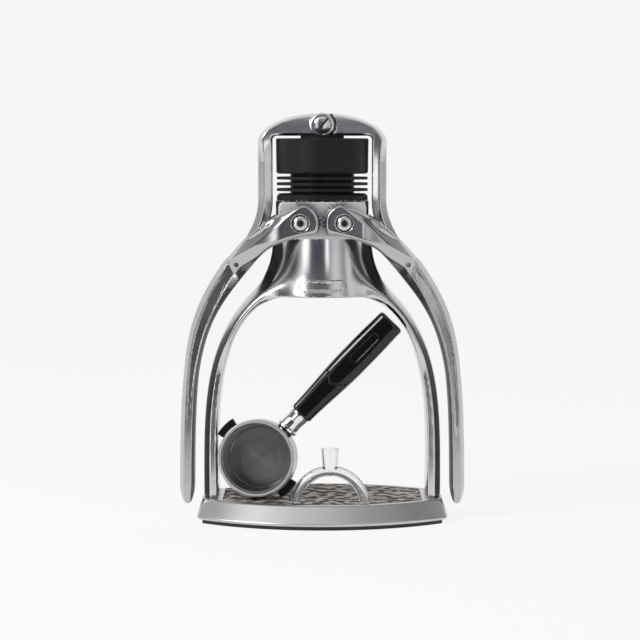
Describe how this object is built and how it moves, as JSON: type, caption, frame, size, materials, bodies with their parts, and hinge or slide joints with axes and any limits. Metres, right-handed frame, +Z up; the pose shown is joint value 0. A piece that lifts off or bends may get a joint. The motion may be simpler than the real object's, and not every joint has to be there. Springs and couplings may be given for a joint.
{
  "type": "manual espresso maker",
  "caption": "Lever espresso maker: arched cast frame with bell, gear-linked wishbone levers, yoke and plunger in a black chamber, loose portafilter and clear spout.",
  "frame": {"origin": "on the table under the bell's axis, at the centre of the base's underside", "axes": "+X to the right as pictured, +Y away from the viewer, +Z up"},
  "size_m": [0.2052, 0.13, 0.2916],
  "materials": {
    "cast_alu": "polished casting",
    "steel": "bright stainless",
    "spun_steel": "spun stainless",
    "chrome": "mirror plated",
    "bronze": "sintered bush",
    "black_plastic": "satin glass-filled moulding",
    "gloss_black": "gloss moulding",
    "white_plastic": "turned",
    "clear_plastic": "clear moulding",
    "rubber": "moulded",
    "mat": "mottled embossed mat"
  },
  "bodies": {
    "frame": {"base_plate": "cast_alu", "base_mat": "mat", "base_sole": "rubber", "base_screws": "steel", "frame_casting": "cast_alu", "pivot_screws": "steel", "pivot_washers": "black_plastic", "pressure_chamber": "black_plastic", "chamber_ring": "rubber", "group_ring": "steel", "group_screws": "steel", "group_gasket": "rubber", "shower_screen": "steel", "screen_screw": "steel"},
    "lever_left": {"lever_left": "cast_alu", "bushes_left": "bronze"},
    "lever_right": {"lever_right": "cast_alu", "bushes_right": "bronze"},
    "plunger": {"plunger": "black_plastic", "piston_head": "white_plastic", "piston_seal": "rubber", "piston_bolt": "steel", "yoke_screw": "steel", "yoke_nut": "steel"},
    "yoke_left": {"yoke_left": "cast_alu", "cross_pin_left": "steel"},
    "yoke_right": {"yoke_right": "cast_alu", "cross_pin_right": "steel"},
    "portafilter": {"portafilter_bowl": "chrome", "filter_basket": "spun_steel", "basket_spring": "steel", "handle_ferrule": "chrome", "handle_grip": "gloss_black", "handle_stud": "steel"},
    "spout": {"twin_spout": "clear_plastic"}
  },
  "joints": [
    {"name": "lever_left_pivot", "type": "hinge", "parent": "frame", "child": "lever_left", "pos_m": [-0.0154, 0, 0.214], "axis": [0, 1, 0], "range_deg": [0, 75]},
    {"name": "lever_right_pivot", "type": "hinge", "parent": "frame", "child": "lever_right", "pos_m": [0.0154, 0, 0.214], "axis": [0, 1, 0], "range_deg": [-75, 0]},
    {"name": "plunger_slide", "type": "slide", "parent": "frame", "child": "plunger", "axis": [0, 0, 1], "range_m": [0, 0.0692]},
    {"name": "yoke_left_pivot", "type": "hinge", "parent": "plunger", "child": "yoke_left", "pos_m": [0, 0, 0.28277], "axis": [0, 1, 0], "range_deg": [-2.6, 0]},
    {"name": "yoke_right_pivot", "type": "hinge", "parent": "plunger", "child": "yoke_right", "pos_m": [0, 0, 0.28277], "axis": [0, 1, 0], "range_deg": [0, 2.6]},
    {"name": "portafilter_lift_out", "type": "slide", "parent": "frame", "child": "portafilter", "axis": [-0.1214, -0.9888, 0.0872], "range_m": [0, 0.2]},
    {"name": "spout_lift_out", "type": "slide", "parent": "frame", "child": "spout", "axis": [0, -1, 0], "range_m": [0, 0.12]}
  ],
  "couplings": [
    {"joint": "lever_right_pivot", "follows": "lever_left_pivot", "ratio": -1},
    {"joint": "plunger_slide", "follows": "lever_left_pivot", "m_per_rad": 0.052832},
    {"joint": "yoke_left_pivot", "follows": "lever_left_pivot", "ratio": -0.034494},
    {"joint": "yoke_right_pivot", "follows": "lever_left_pivot", "ratio": 0.034494}
  ]
}
